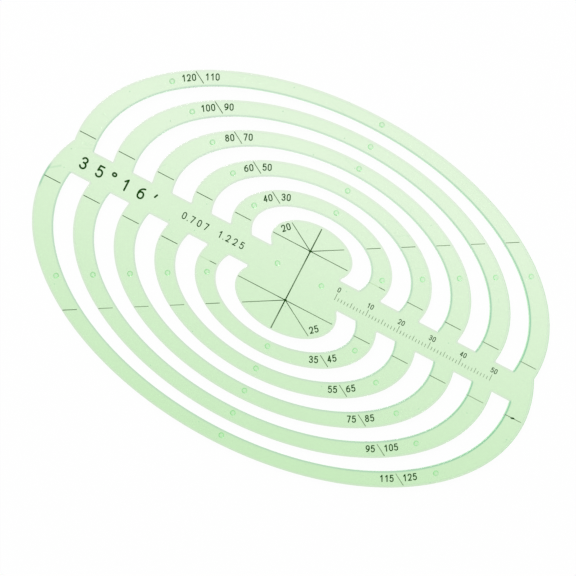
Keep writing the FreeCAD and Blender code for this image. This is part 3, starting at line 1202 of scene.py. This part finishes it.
@dataclass
class Printing:
    """The printed lines and numbers, which keep their CAD solids, and drops of ink at some line ends."""

    nodes: dict[str, bpy.types.Object]
    wear_level: float = 0.22
    wear_lean: float = 0.002
    number_patchiness: float = 0.15
    # Across, along, radius, strength
    worn_spots: tuple[Four, ...] = (
        (20.2, 8.5, 1.9, 0.95), (-26.3, -7.0, 2.4, 0.95), (60.9, -7.0, 3.4, 0.5),
        (38.0, 30.0, 17.0, 0.42), (-35.4, -27.2, 15.0, 0.38))
    # Across, along, long radius, short radius
    drops: tuple[Four, ...] = (
        (-0.31, 8.5, 0.46, 0.34), (-0.31, -7.0, 0.46, 0.34), (73.0, -7.0, 0.6, 0.26))
    drop_height: float = 0.056
    drop_tilt: float = 0.3
    drop_sides: int = 18

    def dress(self) -> list[bpy.types.Object]:
        """Gives each print its ink, and adds the drops.

        Returns:
            The inked pieces.
        """
        lines = PrintedInk(Slot.LINES.value, wear_level=self.wear_level, wear_lean=self.wear_lean,
                           worn_spots=self.worn_spots).material()
        numbers = PrintedInk(Slot.NUMBERS.value, patchiness=self.number_patchiness).material()
        prints = {name: node for name, node in self.nodes.items() if name != "template_plate"}
        for name, node in prints.items():
            ink = numbers if "number" in name else lines
            node.data.materials.clear()
            node.data.materials.append(ink)
        return [*prints.values(), self.blobs(numbers)]

    def blobs(self, ink: bpy.types.Material) -> bpy.types.Object:
        """Lays the drops of ink that gathered where lines cross or end.

        Args:
            ink: Their material.

        Returns:
            The drops as one piece.
        """
        seed = points_mesh("blob_places", [(x, y) for x, y, _, _ in self.drops])
        sizes = seed.attributes.new("size", "FLOAT_VECTOR", "POINT")
        for entry, (_, _, long, short) in zip(sizes.data, self.drops):
            entry.vector = (long, short, 1.0)
        piece = plain_piece("ink_blobs", seed, self.blob_tree(), {"Material": ink})
        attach(piece, BODY)
        return piece

    def blob_tree(self) -> bpy.types.NodeTree:
        """Builds the tree that lays a low round drop at every point.

        Returns:
            The tree.
        """
        wiring = FormWiring.group("blobs_from_places", {
            "Blob places": Kind.GEOMETRY, "Face height": FACE_HEIGHT, "Ink height": self.drop_height,
            "Tilt": self.drop_tilt, "Sides": self.drop_sides, "Material": Kind.MATERIAL},
            {"Blobs": Kind.GEOMETRY})
        height = wiring["Ink height"]
        drop = wiring.node("GeometryNodeMeshCylinder", Vertices=wiring["Sides"], Radius=1.0,
                           Depth=height)[0]
        drop = wiring.node("GeometryNodeTransform", Geometry=drop,
                           Translation=wiring.point(z=wiring["Face height"] + height * 0.5))[0]
        laid = wiring.strewn(drop, wiring["Blob places"], Rotation=wiring.point(z=wiring["Tilt"]),
                             Scale=wiring.mark("size", "FLOAT_VECTOR"))
        return wiring.ended(laid, wiring["Material"])


# The studio


@dataclass
class Studio:
    """The camera, the floor and the lights."""

    # The camera's place and lens in millimetres, and its turn in degrees
    camera_place: Place = (-35.51, -21.88, 487.72)
    camera_turn: Place = (0.046, -4.576, 27.438)
    lens: float = 107.89
    sensor_width: float = 36.0
    # From here on in metres: how near and far it sees, the floor and the lamp
    sight: Spot = (0.05, 20.0)
    floor_reach: float = 6.0
    floor_gap: float = 0.00002
    floor_tone: float = 0.8
    # How much of the floor glows white. The rest keeps a little of the shadow
    floor_glow: float = 0.97
    world_strength: float = 0.6
    lamp_place: Place = (-0.7, 0.6, 1.1)
    lamp_size: float = 0.9
    lamp_power: float = 12.0

    def camera(self) -> None:
        """Sets the camera where the photograph was taken from."""
        data = bpy.data.cameras.new("photo_camera")
        data.lens, data.sensor_width = self.lens, self.sensor_width
        data.clip_start, data.clip_end = self.sight
        camera = placed("photo_camera", data)
        camera.location = Vector(self.camera_place) * MM
        camera.rotation_euler = [math.radians(angle) for angle in self.camera_turn]
        bpy.context.scene.camera = camera

    def seen(self, wiring: ShadeWiring) -> Term:
        """Gives 1 for rays by which the background is seen, and 0 for those that light the object.

        Args:
            wiring: The tree.

        Returns:
            The mask.
        """
        path = wiring.node("ShaderNodeLightPath")
        through = wiring.math("MAXIMUM", path["Is Glossy Ray"], path["Is Transmission Ray"])
        return wiring.math("MAXIMUM", path["Is Camera Ray"], through)

    def floor(self) -> None:
        """Lays the pale floor that the template rests on."""
        reach = self.floor_reach
        data = bpy.data.meshes.new("floor")
        data.from_pydata([(-reach, -reach, 0), (reach, -reach, 0), (reach, reach, 0), (-reach, reach, 0)],
                         [], [(0, 1, 2, 3)])
        floor = placed("floor", data)
        floor.location.z = -self.floor_gap
        made = bpy.data.materials.new("pale_floor")
        wiring = ShadeWiring.of(made)
        matt = wiring.node("ShaderNodeBsdfDiffuse", Color=(*[self.floor_tone] * 3, 1))
        glow = wiring.node("ShaderNodeEmission", Color=(1, 1, 1, 1), Strength=1.0)
        surface = wiring.mixed(self.seen(wiring) * self.floor_glow, matt, glow)
        wiring.node("ShaderNodeOutputMaterial", Surface=surface)
        data.materials.append(made)

    def lights(self) -> None:
        """Sets plain soft light all round and one large lamp."""
        world = bpy.data.worlds.new("studio")
        bpy.context.scene.world = world
        wiring = ShadeWiring.of(world)
        strength = self.world_strength + self.seen(wiring) * (1 - self.world_strength)
        back = wiring.node("ShaderNodeBackground", Color=(1, 1, 1, 1), Strength=strength)
        wiring.node("ShaderNodeOutputWorld", Surface=back[0])
        data = bpy.data.lights.new("soft_lamp", "AREA")
        data.shape, data.size, data.energy = "DISK", self.lamp_size, self.lamp_power
        place = Vector(self.lamp_place)
        placed("soft_lamp", data).matrix_world = (
            Matrix.Translation(place) @ place.to_track_quat("Z", "Y").to_matrix().to_4x4())


def main() -> None:
    """Builds the template's looks, piece by piece."""
    logging.basicConfig(level=logging.INFO, format="%(message)s")
    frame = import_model()
    bpy.context.scene.view_settings.view_transform = "Standard"
    studio = Studio()
    studio.camera()
    studio.floor()
    studio.lights()
    piece = Moulding().build(ClearPlastic().material())
    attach(piece, BODY)
    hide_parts("template_plate")
    LOG.info("built %s with %d faces", piece.name, len(piece.data.polygons))
    for piece in Printing(frame["nodes"]).dress():
        LOG.info("inked %s", piece.name)


if __name__ == "__main__":
    main()
